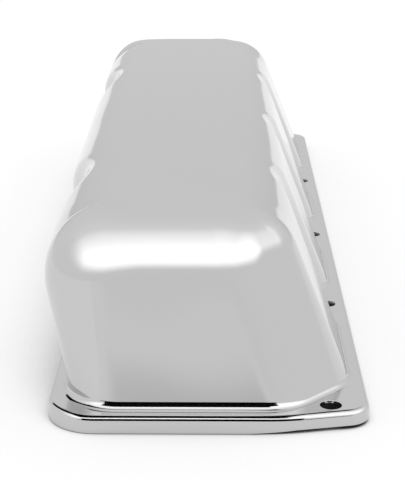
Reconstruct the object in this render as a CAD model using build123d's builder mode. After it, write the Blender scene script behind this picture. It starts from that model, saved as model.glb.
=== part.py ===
from build123d import *
import os
from math import tan, radians

os.makedirs("parts", exist_ok=True)

# Engine valve cover, in millimetres: X across the cover with the bolt-pocket side at +X,
# Y along it, Z up from the lip's lower edge.

# sheet and gasket flange
sheet = 1.2
flange_length = 542.0
flange_left_x = -72.3
flange_right_x = 75.7
lip_height = 8.7
lip_edge_radius = 2.5
left_corner_radius = 23.0
right_corner_radius = 12.0
end_kink_x = 37.4  # where the end edge starts to angle back towards the bolt-pocket side
end_kink_back = 8.2
end_kink_radius = 80.0
lip_rise = 1.6  # the lip is this much shallower on the bolt-pocket side
lip_rise_from_x = 20.0
lip_rise_to_x = 42.0

# drawn body above the flange
body_rise = 81.6
left_foot_x = -62.5
right_foot_x = 68.4
end_foot_y = 263.0
corner_cut_x = 39.7  # the end wall stops here and turns back behind the corner bolt
corner_cut_y = 232.0
left_lean = 14.7  # degrees, outwards going up
right_draft = 21.5  # degrees, inwards going up
end_draft = 10.0
corner_draft_x = 24.0  # how far the corner cut moves in towards the middle at the crown
corner_draft_y = 4.0
left_foot_plan_radius = 22.0
left_crown_plan_radius = 37.0
cut_plan_radius = 27.0
crown_radius = 28.0
foot_radius = 3.8  # inside corner between wall and flange

# bolts: five down the pocket side, two in the notches of the other side
bolt_pitch = 124.5
bolt_x = 64.9
notch_bolt_x = -64.5
corner_bolt_x = 57.6
corner_bolt_y = 257.5
bolt_hole_diameter = 10.0

# bolt pockets: oblique round grooves that fade out at the crown edge
pocket_radius = 34.0
pocket_valley_x = 54.9
pocket_rim_x = 38.5
# notches: upright round scallops in the other wall, narrowing and shallower towards the crown
notch_radius = 60.0
notch_valley_x = -54.0
notch_taper = 7.5  # degrees

crown_z = lip_height + body_rise
foot_z = lip_height - 2 * sheet
half_length = flange_length / 2


def outline(height, inset):
    """Corner points of the body outline at a height above the flange, moved inwards by inset."""
    left = left_foot_x - height * tan(radians(left_lean)) + inset
    right = right_foot_x - height * tan(radians(right_draft)) - inset
    end = end_foot_y - height * tan(radians(end_draft)) - inset
    share = height / body_rise
    cut_x = corner_cut_x - corner_draft_x * share - inset * 0.5
    cut_y = corner_cut_y - corner_draft_y * share - inset * 0.4
    return [
        (left, -end), (cut_x, -end), (right, -cut_y),
        (right, cut_y), (cut_x, end), (left, end),
    ]


def drawn_body(inset):
    """The drawn form as a solid; inset 0 is the outside, inset = sheet is the inside."""
    low = foot_z if inset == 0 else -sheet
    with BuildPart() as body:
        for level in (low, crown_z - inset):
            with BuildSketch(Plane.XY.offset(level)):
                with BuildLine():
                    Polyline(*outline(level - lip_height, inset), close=True)
                make_face()
                rise = (level - lip_height) / body_rise
                left_radius = left_foot_plan_radius * (1 - rise) + left_crown_plan_radius * rise
                fillet(vertices().sort_by(Axis.X)[0:2], left_radius - inset)
                corners = vertices().filter_by_position(Axis.X, 0, flange_right_x)
                fillet(corners, cut_plan_radius - inset)
        loft(ruled=True)
        crown = faces().sort_by(Axis.Z)[-1]
        fillet(crown.edges(), crown_radius - inset)
        for y in (-bolt_pitch, 0, bolt_pitch):
            with BuildSketch(Plane.XY.offset(lip_height)):
                with Locations((pocket_valley_x + pocket_radius, y)):
                    Circle(pocket_radius + inset)
            slope = Vector(pocket_rim_x - pocket_valley_x, 0, body_rise)
            extrude(amount=crown_z, dir=slope.normalized(), both=True, mode=Mode.SUBTRACT)
        for y in (-bolt_pitch, bolt_pitch):
            with BuildSketch(Plane.XY.offset(-sheet)):
                with Locations((notch_valley_x - notch_radius, y)):
                    Circle(notch_radius + inset)
            extrude(amount=crown_z + 2 * sheet, taper=notch_taper, mode=Mode.SUBTRACT)
    return body.part


def flange_block(inset):
    """The flange outline as a block from the gasket face up; inset as for the body."""
    with BuildPart() as block:
        with BuildSketch():
            with BuildLine():
                Polyline(
                    (flange_left_x, -half_length), (end_kink_x, -half_length),
                    (flange_right_x, -half_length + end_kink_back),
                    (flange_right_x, half_length - end_kink_back),
                    (end_kink_x, half_length), (flange_left_x, half_length), close=True,
                )
            make_face()
            fillet(vertices().sort_by(Axis.X)[0:2], left_corner_radius)
            fillet(vertices().sort_by(Axis.X)[-2:], right_corner_radius)
            kinks = vertices().filter_by_position(Axis.X, end_kink_x - 1, end_kink_x + 1)
            fillet(kinks, end_kink_radius)
            if inset > 0:
                offset(amount=-inset, mode=Mode.REPLACE)
        extrude(amount=lip_height - inset)
        fillet(faces().sort_by(Axis.Z)[-1].edges(), lip_edge_radius - inset)
    return block.part


body_outside = drawn_body(0)
body_inside = drawn_body(sheet)
flange_outside = flange_block(0)
flange_inside = flange_block(sheet)

with BuildPart() as valve_cover_shell:
    add(flange_outside)
    add(body_outside)
    foot = edges().filter_by_position(Axis.Z, lip_height - 0.01, lip_height + 0.01)
    foot = foot.filter_by_position(Axis.Y, -end_foot_y - 1, end_foot_y + 1)
    foot = foot.filter_by_position(Axis.X, left_foot_x - 1, right_foot_x + 1)
    fillet(foot, foot_radius)
    add(flange_inside, mode=Mode.SUBTRACT)
    add(body_inside, mode=Mode.SUBTRACT)
    bolt_points = [
        (bolt_x, -bolt_pitch), (bolt_x, 0), (bolt_x, bolt_pitch),
        (corner_bolt_x, -corner_bolt_y), (corner_bolt_x, corner_bolt_y),
        (notch_bolt_x, -bolt_pitch), (notch_bolt_x, bolt_pitch),
    ]
    with BuildSketch(Plane.XY.offset(lip_height + sheet)):
        with Locations(*bolt_points):
            Circle(bolt_hole_diameter / 2)
    extrude(amount=-4 * sheet, mode=Mode.SUBTRACT)
    with BuildSketch(Plane.XZ):
        with BuildLine():
            Polyline(
                (lip_rise_from_x, -sheet), (lip_rise_from_x, 0), (lip_rise_to_x, lip_rise),
                (flange_right_x + sheet, lip_rise), (flange_right_x + sheet, -sheet), close=True,
            )
        make_face()
    extrude(amount=flange_length, both=True, mode=Mode.SUBTRACT)

valve_cover_shell.part.label = "valve_cover_shell"
export_step(valve_cover_shell.part, "parts/valve_cover_shell.step")
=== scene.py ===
import bmesh
import bpy
import math
import numpy as np
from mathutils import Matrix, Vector


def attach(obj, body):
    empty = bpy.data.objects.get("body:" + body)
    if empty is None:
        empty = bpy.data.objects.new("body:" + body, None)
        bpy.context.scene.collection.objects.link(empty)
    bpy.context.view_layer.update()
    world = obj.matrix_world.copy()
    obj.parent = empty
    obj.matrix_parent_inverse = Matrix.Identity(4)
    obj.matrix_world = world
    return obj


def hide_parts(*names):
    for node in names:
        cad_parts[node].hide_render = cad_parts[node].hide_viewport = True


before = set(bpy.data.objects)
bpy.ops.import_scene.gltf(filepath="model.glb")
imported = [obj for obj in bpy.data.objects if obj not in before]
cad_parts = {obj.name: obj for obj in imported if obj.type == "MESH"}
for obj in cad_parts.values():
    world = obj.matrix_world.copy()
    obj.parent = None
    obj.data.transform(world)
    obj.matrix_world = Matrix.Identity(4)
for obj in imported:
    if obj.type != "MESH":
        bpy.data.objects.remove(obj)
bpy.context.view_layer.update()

NODE = "valve_cover_shell"
MM = 0.001

# ---------------------------------------------------------------- form, in mm, z above the flange's top face
LIP = 8.7            # flange top above the lip's lower edge
SHEET = 1.2
RISE = 81.6
LEFT_FOOT, LEFT_LEAN = -62.5, math.radians(14.7)
RIGHT_FOOT, RIGHT_DRAFT = 68.4, math.radians(21.5)
END_FOOT, END_DRAFT = 263.0, math.radians(10.0)
CUT_X, CUT_Y, CUT_IN = 39.7, 232.0, 0.3407
LEFT_PLAN_FOOT, LEFT_PLAN_CROWN, CUT_PLAN = 22.0, 36.0, 27.0
CROWN_LEFT, CROWN_CORNER, CROWN_RIGHT, CROWN_END = 29.3, 31.3, 29.0, 25.0
FOOT_R, FOOT_R_END = 3.4, 4.0
POCKET_R, POCKET_VALLEY, POCKET_RIM, POCKET_SOFT = 34.0, 54.9, 38.5, 8.0
NOTCH_R, NOTCH_VALLEY, NOTCH_TAPER, NOTCH_SOFT = 58.7, -55.3, math.radians(7.5), 10.0
PITCH = 124.5
BOLT_X, CORNER_BOLT_X, CORNER_BOLT_Y, NOTCH_BOLT_X = 64.9, 57.6, 257.5, -64.5
HOLE_R, HOLE_EDGE = 5.0, 0.2

FLANGE_LEFT, FLANGE_RIGHT, FLANGE_END = -72.3, 75.7, 271.0
KINK_X, KINK_BACK = 37.4, 8.2
LEFT_CORNER_R, KINK_R, RIGHT_CORNER_R = 23.0, 80.0, 12.0
LIP_R = 2.5
LIP_RISE, LIP_RISE_FROM, LIP_RISE_RUN = 1.6, 20.0, 22.0  # the lip gets shallower to the pocket side

# where the crown radius changes: first x or |y|, then the length of the change
CROWN_ACROSS, CROWN_AT_END, CROWN_AT_CORNER = (-45.0, 60.0), (190.0, 40.0), (-66.0, 40.0)

# the line inside the body that the surface is measured out from
SPINE_X, SPINE_END, FAN_Z, FAR_OUT = -8.0, 203.0, 45.0, 130.0
HALVINGS = 34
WAVE_LENGTH, WAVE_TURN = 17.0, 0.004


def rounded_join(a, b, radius, cosine):
    """Signed distance to the inside of two walls that meet in a fillet."""
    u, v = a + radius, b + radius
    round_part = np.sqrt(np.maximum(u * u + v * v - 2 * u * v * cosine, 0) / (1 - cosine ** 2)) - radius
    return np.where((u - v * cosine > 0) & (v - u * cosine > 0), round_part, np.maximum(a, b))


def soft_cut(body, cutter, width):
    """Body minus cutter (positive inside the cutter), with the edge eased over width."""
    ease = np.maximum(width - np.abs(body - cutter), 0)
    return np.maximum(body, cutter) + ease ** 2 / (4 * width)


cut_run = np.array([RIGHT_FOOT - CUT_X, END_FOOT - CUT_Y])
cut_nx, cut_ny = cut_run[1] / np.hypot(*cut_run), cut_run[0] / np.hypot(*cut_run)
cut_lean = math.atan(CUT_IN)


def walls(x, y, z):
    left = (LEFT_FOOT - z * math.tan(LEFT_LEAN) - x) * math.cos(LEFT_LEAN)
    right = (x - RIGHT_FOOT + z * math.tan(RIGHT_DRAFT)) * math.cos(RIGHT_DRAFT)
    end = (np.abs(y) - END_FOOT + z * math.tan(END_DRAFT)) * math.cos(END_DRAFT)
    cut = (cut_nx * (x - CUT_X) + cut_ny * (np.abs(y) - END_FOOT) + CUT_IN * z) * math.cos(cut_lean)
    cos_end_left = -math.sin(LEFT_LEAN) * math.sin(END_DRAFT)
    cos_cut_end = cut_ny * math.cos(cut_lean) * math.cos(END_DRAFT) + math.sin(cut_lean) * math.sin(END_DRAFT)
    cos_cut_right = (cut_nx * math.cos(cut_lean) * math.cos(RIGHT_DRAFT)
                     + math.sin(cut_lean) * math.sin(RIGHT_DRAFT))
    plan = LEFT_PLAN_FOOT + (LEFT_PLAN_CROWN - LEFT_PLAN_FOOT) * np.clip(z / RISE, 0, 1)
    left_end = rounded_join(left, end, plan, cos_end_left)
    end_cut = rounded_join(end, cut, CUT_PLAN, cos_cut_end)
    cut_right = rounded_join(cut, right, CUT_PLAN, cos_cut_right)
    return np.maximum(np.maximum(left_end, end_cut), cut_right)


def smooth_step(t):
    t = np.clip(t, 0, 1)
    return t * t * (3 - 2 * t)


def body(x, y, z):
    """The drawn form: below zero inside, about the distance in mm outside."""
    side = walls(x, y, z)
    lean = np.clip((walls(x, y, z + 0.5) - walls(x, y, z - 0.5)), -0.9, 0.9)
    crown = CROWN_LEFT + (CROWN_RIGHT - CROWN_LEFT) * smooth_step((x - CROWN_ACROSS[0]) / CROWN_ACROSS[1])
    at_end = smooth_step((np.abs(y) - CROWN_AT_END[0]) / CROWN_AT_END[1])
    inner = smooth_step((x - CROWN_AT_CORNER[0]) / CROWN_AT_CORNER[1])
    crown = crown + at_end * ((CROWN_END - crown) * inner + (CROWN_CORNER - CROWN_LEFT) * (1 - inner))
    form = rounded_join(side, z - RISE, crown, lean)
    for bolt_y in (-PITCH, 0, PITCH):
        axis_x = POCKET_VALLEY + POCKET_R + (POCKET_RIM - POCKET_VALLEY) * z / RISE
        form = soft_cut(form, (POCKET_R - np.hypot(x - axis_x, y - bolt_y)) * 0.97, POCKET_SOFT)
    for bolt_y in (-PITCH, PITCH):
        away = np.hypot(x - NOTCH_VALLEY + NOTCH_R, y - bolt_y)
        depth = (NOTCH_R - z * math.tan(NOTCH_TAPER) - away) * math.cos(NOTCH_TAPER)
        form = soft_cut(form, depth, NOTCH_SOFT)
    return form


def normals_of(p):
    step = 0.05
    grad = []
    for axis in range(3):
        d = np.zeros(3)
        d[axis] = step
        hi, lo = p + d, p - d
        grad.append(body(hi[..., 0], hi[..., 1], hi[..., 2]) - body(lo[..., 0], lo[..., 1], lo[..., 2]))
    grad = np.stack(grad, -1)
    return grad / np.linalg.norm(grad, axis=-1, keepdims=True)


def cast(origin, direction, level):
    """The points where rays from inside the body leave its surface, moved in by -level."""
    near = np.zeros(origin.shape[:-1])
    far = np.full(origin.shape[:-1], FAR_OUT)
    for _ in range(HALVINGS):
        mid = (near + far) / 2
        p = origin + direction * mid[..., None]
        out = body(p[..., 0], p[..., 1], p[..., 2]) > level
        far = np.where(out, mid, far)
        near = np.where(out, near, mid)
    return origin + direction * ((near + far) / 2)[..., None]


def columns(straight, fan):
    """Ray origins and plan directions round the body, counter-clockwise from the near right."""
    ys = np.linspace(-SPINE_END, SPINE_END, straight)
    turn = np.linspace(0, np.pi, fan + 2)[1:-1]
    origin, plan = [], []
    for y in ys:
        origin.append((SPINE_X, y))
        plan.append((1.0, 0.0))
    for a in turn:
        origin.append((SPINE_X, SPINE_END))
        plan.append((math.cos(a), math.sin(a)))
    for y in ys[::-1]:
        origin.append((SPINE_X, y))
        plan.append((-1.0, 0.0))
    for a in turn:
        origin.append((SPINE_X, -SPINE_END))
        plan.append((-math.cos(a), -math.sin(a)))
    return np.array(origin), np.array(plan)


def uneven(p, facing):
    """The slight waves of plated sheet, as a small turn of the normals."""
    x, y, z = np.moveaxis(p / WAVE_LENGTH, -1, 0)
    waves = [(np.sin(1.1 * x + 0.4 * y + 1.9 * z) + 0.6 * np.sin(2.3 * x - 0.8 * y - 1.3 * z + 1.0)),
             (np.sin(0.7 * x + 1.2 * y - 1.6 * z + 2.0) + 0.6 * np.sin(1.9 * x + 0.5 * y + 2.6 * z)),
             (np.sin(1.5 * x - 0.6 * y + 1.2 * z + 4.0) + 0.6 * np.sin(0.9 * x + 1.7 * y - 2.2 * z + 3.0))]
    turned = facing + WAVE_TURN * np.stack(waves, -1)
    return turned / np.linalg.norm(turned, axis=-1, keepdims=True)


def body_grid(straight, fan, wall_rows, fan_rows, level):
    """Rows of points up the wall, over the crown and to the middle of the top."""
    origin, plan = columns(straight, fan)
    count = len(origin)
    foot = np.full(count, FOOT_R * 0.8)
    flat = np.concatenate([plan, np.zeros((count, 1))], 1)
    for _ in range(3):
        start = np.concatenate([origin, foot[:, None]], 1)
        wall = cast(start, flat, 0.0)
        normal = normals_of(wall)
        foot = foot_radius(normal) * (1 - normal[:, 2])
    rows = []
    for k in range(wall_rows):
        z = foot + (FAN_Z - foot) * k / wall_rows
        start = np.concatenate([origin, z[:, None]], 1)
        rows.append(cast(start, flat, level))
    for k in range(fan_rows):
        up = math.radians(88.5) * k / (fan_rows - 1)
        start = np.concatenate([origin, np.full((count, 1), FAN_Z)], 1)
        direction = flat * math.cos(up) + np.array([0, 0, math.sin(up)])
        rows.append(cast(start, direction, level))
    grid = np.stack(rows)
    return grid, uneven(grid, normals_of(grid)), wall, normal


def foot_radius(normal):
    return FOOT_R + (FOOT_R_END - FOOT_R) * smooth_step((np.abs(normal[:, 1]) - 0.75) / 0.2)


def foot_grid(wall, normal, sheet, steps):
    """The fillet from the wall's foot out to the flange, and its normals."""
    radius = foot_radius(normal)[:, None]
    centre = wall + radius * normal
    plan = normal[:, :2] / np.linalg.norm(normal[:, :2], axis=1, keepdims=True)
    first = np.arcsin(np.clip(normal[:, 2], -1, 1))
    points, facing = [], []
    for k in range(steps + 1):
        psi = first + (np.pi / 2 - first) * k / steps
        n = np.concatenate([plan * np.cos(psi)[:, None], np.sin(psi)[:, None]], 1)
        points.append(centre - (radius + sheet) * n)
        facing.append(n)
    return np.stack(points), np.stack(facing)


def rounded_loop(corners, radii, step):
    """A closed outline of straight runs and corner arcs, with its outward normals."""
    points, facing = [], []
    count = len(corners)
    for i, corner in enumerate(corners):
        p = np.array(corner, float)
        before = np.array(corners[i - 1], float) - p
        after = np.array(corners[(i + 1) % count], float) - p
        before /= np.linalg.norm(before)
        after /= np.linalg.norm(after)
        half = math.acos(np.clip(before @ after, -1, 1)) / 2
        middle = before + after
        middle /= np.linalg.norm(middle)
        centre = p + middle * radii[i] / math.sin(half)
        start = np.array([before[1], -before[0]])
        n0 = p + before * radii[i] / math.tan(half) - centre
        a0 = math.atan2(n0[1], n0[0])
        sweep = math.pi - 2 * half
        steps = max(3, int(math.ceil(sweep * radii[i] / step)))
        for k in range(steps + 1):
            a = a0 + sweep * k / steps
            n = np.array([math.cos(a), math.sin(a)])
            points.append(centre + radii[i] * n)
            facing.append(n)
    points, facing = np.array(points), np.array(facing)
    fine_p, fine_n = [], []
    for i in range(len(points)):
        q, r = points[i], points[(i + 1) % len(points)]
        gap = np.linalg.norm(r - q)
        parts = max(1, int(round(gap / (step * 2.0))))
        for k in range(parts):
            fine_p.append(q + (r - q) * k / parts)
            fine_n.append(facing[i])
    return np.array(fine_p), np.array(fine_n)


def new_piece(name, points, faces, facing, material):
    mesh = bpy.data.meshes.new(name)
    mesh.from_pydata([tuple(v) for v in (points + np.array([0, 0, LIP])) * MM], [], faces)
    mesh.polygons.foreach_set("use_smooth", [True] * len(mesh.polygons))
    mesh.update()
    mesh.normals_split_custom_set_from_vertices([tuple(n) for n in facing])
    piece = bpy.data.objects.new(name, mesh)
    bpy.context.scene.collection.objects.link(piece)
    mesh.materials.append(material)
    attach(piece, "root")
    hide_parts(NODE)
    return piece


def grid_faces(rows, count, offset=0, flip=False):
    faces = []
    for r in range(rows - 1):
        a = offset + r * count
        for i in range(count):
            j = (i + 1) % count
            quad = (a + i, a + j, a + count + j, a + count + i)
            faces.append(quad[::-1] if flip else quad)
    return faces


def body_piece(name, grid, facing, straight, fan, material, inner=False):
    rows, count = grid.shape[:2]
    points = grid.reshape(-1, 3)
    faces = grid_faces(rows, count, flip=inner)
    top = (rows - 1) * count
    right = [top + i for i in range(straight)]
    left = [top + straight + fan + i for i in range(straight)][::-1]
    far_fan = [top + straight + i for i in range(fan)]
    near_fan = [top + 2 * straight + fan + i for i in range(fan)]
    for i in range(straight - 1):
        quad = (right[i], right[i + 1], left[i + 1], left[i])
        faces.append(quad[::-1] if inner else quad)
    caps = [[right[-1]] + far_fan + [left[-1]], [left[0]] + near_fan + [right[0]]]
    for cap in caps:
        faces.append(tuple(cap[::-1] if inner else cap))
    normals = facing.reshape(-1, 3) * (-1 if inner else 1)
    return new_piece(name, points, faces, normals, material)


def flat_fill(loops, z, down=False):
    """Triangles of a flat face between closed loops; the first loop is the outside."""
    bm = bmesh.new()
    edges = []
    for loop in loops:
        verts = [bm.verts.new((p[0], p[1], z)) for p in loop]
        for i in range(len(verts)):
            edges.append(bm.edges.new((verts[i], verts[(i + 1) % len(verts)])))
    bm.verts.index_update()
    bmesh.ops.triangle_fill(bm, use_beauty=True, use_dissolve=False, edges=edges)
    bm.verts.index_update()
    points = np.array([v.co[:] for v in bm.verts])
    faces = []
    for f in bm.faces:
        ids = [v.index for v in f.verts]
        a, b, c = points[ids[0]], points[ids[1]], points[ids[2]]
        up = (b[0] - a[0]) * (c[1] - a[1]) - (b[1] - a[1]) * (c[0] - a[0]) > 0
        faces.append(tuple(ids if up != down else ids[::-1]))
    bm.free()
    return points, faces


class Patchwork:
    def __init__(self):
        self.points, self.facing, self.faces, self.count = [], [], [], 0

    def add(self, points, facing, faces):
        self.faces += [tuple(i + self.count for i in f) for f in faces]
        self.points.append(points)
        self.facing.append(facing)
        self.count += len(points)


def bolt_points():
    points = [(BOLT_X, k * PITCH) for k in (-1, 0, 1)]
    points += [(CORNER_BOLT_X, s * CORNER_BOLT_Y) for s in (-1, 1)]
    return points + [(NOTCH_BOLT_X, s * PITCH) for s in (-1, 1)]


# ---------------------------------------------------------------- materials
def chrome(name, roughness):
    material = bpy.data.materials.new(name)
    material.use_nodes = True
    shader = material.node_tree.nodes["Principled BSDF"]
    shader.inputs["Base Color"].default_value = (0.565, 0.565, 0.565, 1)
    shader.inputs["Metallic"].default_value = 1.0
    shader.inputs["Roughness"].default_value = roughness
    return material


bright = chrome("chrome_bright", 0.09)
inside = chrome("chrome_inside", 0.3)

# ---------------------------------------------------------------- the cover
STRAIGHT, FAN = 250, 110
grid, facing, wall, wall_normal = body_grid(STRAIGHT, FAN, 24, 62, 0.0)
cover_body = body_piece("cover_body", grid, facing, STRAIGHT, FAN, bright)

in_straight, in_fan = 126, 50
grid_in, facing_in, wall_in, normal_in = body_grid(in_straight, in_fan, 10, 30, -SHEET)
foot_in, foot_in_n = foot_grid(wall_in, normal_in, SHEET, 5)
whole = np.concatenate([foot_in[::-1][:-1], grid_in])
whole_n = np.concatenate([foot_in_n[::-1][:-1], facing_in])
cover_inside = body_piece("cover_inside", whole, whole_n, in_straight, in_fan, inside, inner=True)

foot, foot_n = foot_grid(wall, wall_normal, 0.0, 9)
cover_foot = new_piece("cover_foot", foot.reshape(-1, 3), grid_faces(len(foot), foot.shape[1], flip=True),
                       foot_n.reshape(-1, 3), bright)

corners = [(FLANGE_LEFT, -FLANGE_END), (KINK_X, -FLANGE_END), (FLANGE_RIGHT, -FLANGE_END + KINK_BACK),
           (FLANGE_RIGHT, FLANGE_END - KINK_BACK), (KINK_X, FLANGE_END), (FLANGE_LEFT, FLANGE_END)]
near_radii = [LEFT_CORNER_R, KINK_R, RIGHT_CORNER_R]
loop, loop_n = rounded_loop(corners, near_radii + near_radii[::-1], 1.0)
profile = []
for k in range(9):
    a = math.pi / 2 * (1 - k / 8)
    profile.append((-LIP_R + LIP_R * math.cos(a), -LIP_R + LIP_R * math.sin(a), math.cos(a), math.sin(a)))
# down the lip, round its lower edge and up inside
profile += [(0, -LIP + 0.4, 1, 0), (-0.12, -LIP + 0.12, 0.7, -0.7), (-0.4, -LIP, 0, -1),
            (-SHEET + 0.4, -LIP, 0, -1), (-SHEET + 0.12, -LIP + 0.12, -0.7, -0.7), (-SHEET, -LIP + 0.4, -1, 0)]
under_r = LIP_R - SHEET
for k in range(5):
    a = math.pi / 2 * k / 4
    profile.append((-LIP_R + under_r * math.cos(a), -LIP_R + under_r * math.sin(a),
                    -math.cos(a), -math.sin(a)))
lip_points, lip_n = [], []
for out, z, n_out, n_z in profile:
    rise = LIP_RISE * np.clip((loop[:, :1] - LIP_RISE_FROM) / LIP_RISE_RUN, 0, 1)
    low_edge = rise if z < -LIP_R - 1 else 0
    lip_points.append(np.concatenate([loop + loop_n * out, np.full((len(loop), 1), z) + low_edge], 1))
    lip_n.append(np.concatenate([loop_n * n_out, np.full((len(loop), 1), n_z)], 1))
cover_lip = new_piece("cover_lip", np.concatenate(lip_points), grid_faces(len(profile), len(loop), flip=True),
                      np.concatenate(lip_n), bright)
flange = Patchwork()

ring = np.linspace(0, 2 * np.pi, 49)[:-1]
rings = np.stack([np.cos(ring), np.sin(ring)], 1)
top_loops = [loop - loop_n * LIP_R, foot[-1][:, :2]]
under_loops = [loop - loop_n * LIP_R, foot_in[-1][:, :2]]
for bx, by in bolt_points():
    top_loops.append(rings * (HOLE_R + HOLE_EDGE) + (bx, by))
    under_loops.append(rings * HOLE_R + (bx, by))
points, faces = flat_fill(top_loops, 0.0)
flange.add(points, np.tile((0, 0, 1.0), (len(points), 1)), faces)
points, faces = flat_fill(under_loops, -SHEET, down=True)
flange.add(points, np.tile((0, 0, -1.0), (len(points), 1)), faces)
for bx, by in bolt_points():
    rim, rim_n = [], []
    for k in range(4):
        a = math.pi / 2 * (1 - k / 3)
        radius = HOLE_R + HOLE_EDGE - HOLE_EDGE * math.cos(a)
        z = -HOLE_EDGE + HOLE_EDGE * math.sin(a)
        rim.append(np.concatenate([rings * radius + (bx, by), np.full((48, 1), z)], 1))
        rim_n.append(np.concatenate([-rings * math.cos(a), np.full((48, 1), math.sin(a))], 1))
    rim.append(np.concatenate([rings * HOLE_R + (bx, by), np.full((48, 1), -SHEET)], 1))
    rim_n.append(np.concatenate([-rings, np.zeros((48, 1))], 1))
    flange.add(np.concatenate(rim), np.concatenate(rim_n), grid_faces(5, 48))
cover_flange = new_piece("cover_flange", np.concatenate(flange.points), flange.faces,
                         np.concatenate(flange.facing), bright)

# ---------------------------------------------------------------- studio
scene = bpy.context.scene
PANELS_AHEAD, FLOOR_GAP = 250.0, 0.5
FLOOR_MATT = 0.2  # share of the white floor that the light makes, its colour darkened by ambient occlusion as painted shade; the rest is a glow, darkened the same way as painted shadow near the cover and under it


def maths(tree, operation, a, b=None):
    node = tree.nodes.new("ShaderNodeMath")
    node.operation = operation
    for slot, value in enumerate((a, b)):
        if isinstance(value, (int, float)):
            node.inputs[slot].default_value = value
        elif value is not None:
            tree.links.new(value, node.inputs[slot])
    return node.outputs[0]


def eased(tree, value, low, high, out_low, out_high):
    node = tree.nodes.new("ShaderNodeMapRange")
    node.interpolation_type = "SMOOTHSTEP"
    for slot, level in (("From Min", low), ("From Max", high), ("To Min", out_low), ("To Max", out_high)):
        node.inputs[slot].default_value = level
    tree.links.new(value, node.inputs["Value"])
    return node.outputs["Result"]


def graded(tree, value, stops):
    node = tree.nodes.new("ShaderNodeValToRGB")
    ends = node.color_ramp.elements
    for (position, level), element in zip((stops[0], stops[-1]), (ends[0], ends[1])):
        element.position, element.color = position, (level, level, level, 1)
    for position, level in stops[1:-1]:
        ends.new(position).color = (level, level, level, 1)
    tree.links.new(value, node.inputs[0])
    return node.outputs[0]


def room_light(tree, direction):
    """The studio's brightness by direction out from the cover: a wide softbox over its near end."""
    split = tree.nodes.new("ShaderNodeSeparateXYZ")
    tree.links.new(direction, split.inputs[0])
    x, y, z = split.outputs
    # from the near horizon, over the top, to the far horizon: 0 at -Y, 1 at +Y
    over = maths(tree, "DIVIDE", maths(tree, "ARCTAN2", z, maths(tree, "MULTIPLY", y, -1.0)), math.pi)
    far = graded(tree, over, [(0.0, 0.035), (0.04, 0.01), (0.72, 0.0), (0.83, 0.035),
                              (0.905, 0.095), (0.925, 0.145), (0.95, 0.175), (1.0, 0.26)])
    sideways = eased(tree, maths(tree, "ABSOLUTE", x), 0.35, 0.85, 1.0, 0.0)
    walls_light = maths(tree, "SUBTRACT", 0.955, maths(tree, "MULTIPLY", far, sideways))
    reach = maths(tree, "SUBTRACT", over, eased(tree, x, 0.3, 0.72, 0.0, 0.15))
    fall = graded(tree, reach, [(0.0, 1.0), (0.32, 1.0), (0.41, 0.71), (0.49, 0.47),
                                (0.58, 0.12), (0.72, 0.03), (0.9, 0.0)])
    low_edge = eased(tree, z, 0.17, 0.5, 0.0, 1.0)
    left_edge = eased(tree, x, -0.97, -0.66, 0.0, 1.0)
    right_edge = eased(tree, x, 0.86, 0.975, 1.0, 0.0)
    box = maths(tree, "MULTIPLY", maths(tree, "MULTIPLY", fall, low_edge),
                maths(tree, "MULTIPLY", left_edge, right_edge))
    return maths(tree, "ADD", walls_light, maths(tree, "MULTIPLY", box, 0.9))


def panel(name, points, faces, receivers, light):
    """A glowing sheet seen only in reflections. Only its receivers see it lit: the rest see it black."""
    mesh = bpy.data.meshes.new(name)
    mesh.from_pydata([tuple(c * MM for c in point) for point in points], [], faces)
    sheet = bpy.data.objects.new(name, mesh)
    sheet.location = (0, -PANELS_AHEAD * MM, 0)
    scene.collection.objects.link(sheet)
    material = bpy.data.materials.new(name)
    material.use_nodes = True
    tree = material.node_tree
    tree.nodes.clear()
    out = tree.nodes.new("ShaderNodeOutputMaterial")
    glow = tree.nodes.new("ShaderNodeEmission")
    place = tree.nodes.new("ShaderNodeTexCoord")
    tree.links.new(light(tree, place.outputs["Object"]), glow.inputs["Strength"])
    tree.links.new(glow.outputs[0], out.inputs["Surface"])
    mesh.materials.append(material)
    sheet.visible_camera = False
    sheet.visible_diffuse = False
    sheet.visible_shadow = False
    sheet.visible_transmission = False
    sheet.visible_volume_scatter = False
    group = bpy.data.collections.new(name + "_receivers")
    for piece in receivers:
        group.objects.link(piece)
    sheet.light_linking.receiver_collection = group


def dome_light(tree, place):
    unit = tree.nodes.new("ShaderNodeVectorMath")
    unit.operation = "NORMALIZE"
    tree.links.new(place, unit.inputs[0])
    return room_light(tree, unit.outputs[0])


def floor_light(tree, place):
    """The glow of a sheet that stands in for the floor ahead of the near end in reflections, dimmer close to
    the cover as painted shade.
    """
    split = tree.nodes.new("ShaderNodeSeparateXYZ")
    tree.links.new(place, split.inputs[0])
    # painted shade: the glow falls from 0.97 far ahead to 0.74 next to the cover, and aside brings it back
    # towards 0.98 out to the sides
    near = eased(tree, split.outputs["Y"], -0.75, -0.05, 0.97, 0.74)
    ahead = maths(tree, "SUBTRACT", 0.2, split.outputs["Y"])
    slant = maths(tree, "DIVIDE", maths(tree, "ABSOLUTE", split.outputs["X"]), ahead)
    aside = eased(tree, slant, 0.08, 0.38, 0.0, 1.0)
    missing = maths(tree, "SUBTRACT", 0.98, near)
    return maths(tree, "ADD", near, maths(tree, "MULTIPLY", missing, aside))


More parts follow.
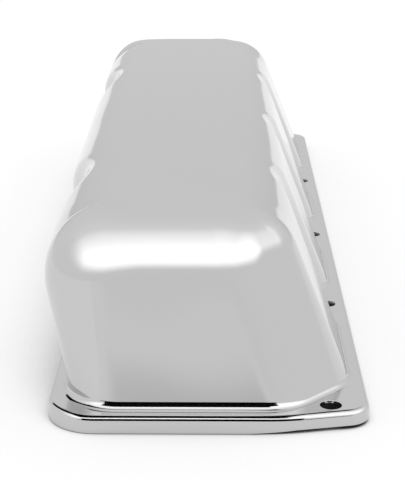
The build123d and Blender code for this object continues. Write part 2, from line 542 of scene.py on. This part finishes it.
def screen(name, over_deg, side_deg, receivers, radius=6000, across=40, up=16):
    """Part of a dome round the near end that carries the room's light."""
    points, faces = [], []
    for k in range(across + 1):
        a = math.radians(side_deg[0] + (side_deg[1] - side_deg[0]) * k / across)
        for m in range(up + 1):
            e = math.radians(over_deg[0] + (over_deg[1] - over_deg[0]) * m / up)
            points.append((radius * math.sin(a), -radius * math.cos(a) * math.cos(e),
                           radius * math.cos(a) * math.sin(e)))
    for k in range(across):
        for m in range(up):
            i = k * (up + 1) + m
            faces.append((i, i + up + 1, i + up + 2, i + 1))
    panel(name, points, faces, receivers, dome_light)


def floor_strip(name, outline, receivers):
    """A glowing sheet that stands in for the floor ahead of the near end, as some pieces see it in
    reflections: a painted reflection of the floor.
    """
    panel(name, [(x, y + PANELS_AHEAD, FLOOR_GAP) for x, y in outline], [(0, 1, 2, 3)], receivers, floor_light)


# The foot and the lip are left out of some of these sheets' receivers, so they reflect them black: painted
# dark reflection bands along the foot fillet and the lip.
screen("low_front", (-6, 33), (-32, 25), [cover_body, cover_inside, cover_flange])
screen("high_front", (33, 52), (-32, 25), [cover_body, cover_inside, cover_flange, cover_lip])
screen("brow", (52, 62), (-32, 12), [cover_body, cover_inside, cover_flange])
screen("overhead", (62, 95), (-35, 12), [cover_body, cover_inside, cover_flange, cover_foot])
screen("far_overhead", (95, 150), (-35, 12), [cover_body, cover_inside, cover_flange])
floor_strip("floor_ahead_painted_reflection", [(-90, -300), (100, -300), (2700, -6000), (-3600, -6000)],
            [cover_body, cover_inside, cover_flange])

world = bpy.data.worlds.new("studio")
scene.world = world
world.use_nodes = True
tree = world.node_tree
tree.nodes.clear()
out = tree.nodes.new("ShaderNodeOutputWorld")
path = tree.nodes.new("ShaderNodeLightPath")
plain = tree.nodes.new("ShaderNodeBackground")
plain.inputs["Color"].default_value = (1, 1, 1, 1)
plain.inputs["Strength"].default_value = 1.0
seen = tree.nodes.new("ShaderNodeBackground")
seen.inputs["Color"].default_value = (1, 1, 1, 1)
coord = tree.nodes.new("ShaderNodeTexCoord")
tree.links.new(room_light(tree, coord.outputs["Generated"]), seen.inputs["Strength"])
mix = tree.nodes.new("ShaderNodeMixShader")
tree.links.new(path.outputs["Is Glossy Ray"], mix.inputs[0])
tree.links.new(plain.outputs[0], mix.inputs[1])
tree.links.new(seen.outputs[0], mix.inputs[2])
tree.links.new(mix.outputs[0], out.inputs["Surface"])

floor_mesh = bpy.data.meshes.new("floor")
reach = 60.0
floor_corners = [(-reach, -reach, 0), (reach, -reach, 0), (reach, reach, 0), (-reach, reach, 0)]
floor_mesh.from_pydata(floor_corners, [], [(0, 1, 2, 3)])
floor = bpy.data.objects.new("floor", floor_mesh)
scene.collection.objects.link(floor)
paper = bpy.data.materials.new("floor_paper_painted_shadow")
paper.use_nodes = True
tree = paper.node_tree
nodes, links = tree.nodes, tree.links
nodes.clear()
surface = nodes.new("ShaderNodeOutputMaterial")
view = nodes.new("ShaderNodeLightPath")
# ambient occlusion paints the shadow: it darkens the floor's colour and its glow close to the cover and under
# it
ao_painted_shade = nodes.new("ShaderNodeAmbientOcclusion")
ao_painted_shade.samples = 16
ao_painted_shade.inputs["Distance"].default_value = 0.1
matt = nodes.new("ShaderNodeBsdfDiffuse")
links.new(maths(tree, "MULTIPLY", ao_painted_shade.outputs["AO"], FLOOR_MATT), matt.inputs["Color"])
seen_by = maths(tree, "MAXIMUM", view.outputs["Is Camera Ray"], view.outputs["Is Glossy Ray"])
seen_by = maths(tree, "MAXIMUM", seen_by, view.outputs["Is Transmission Ray"])
lift = nodes.new("ShaderNodeEmission")
lifted = eased(tree, ao_painted_shade.outputs["AO"], 0.2, 0.75, 0.0, 1.02 - FLOOR_MATT)
links.new(maths(tree, "MULTIPLY", lifted, seen_by), lift.inputs["Strength"])
both = nodes.new("ShaderNodeAddShader")
links.new(matt.outputs[0], both.inputs[0])
links.new(lift.outputs[0], both.inputs[1])
links.new(both.outputs[0], surface.inputs["Surface"])
floor_mesh.materials.append(paper)

# ---------------------------------------------------------------- camera
camera_data = bpy.data.cameras.new("camera")
camera_data.sensor_width = 36.0
camera_data.lens = 109.95
camera_data.clip_end = 100.0
camera = bpy.data.objects.new("camera", camera_data)
scene.collection.objects.link(camera)
camera.location = (4.5 * MM, -870.4 * MM, 284.4 * MM)
pitch, yaw = math.radians(17.82), math.radians(-0.50)
forward = Vector((math.sin(yaw) * math.cos(pitch), math.cos(yaw) * math.cos(pitch), -math.sin(pitch)))
camera.rotation_euler = forward.to_track_quat("-Z", "Y").to_euler()
scene.camera = camera

scene.view_settings.view_transform = "Standard"
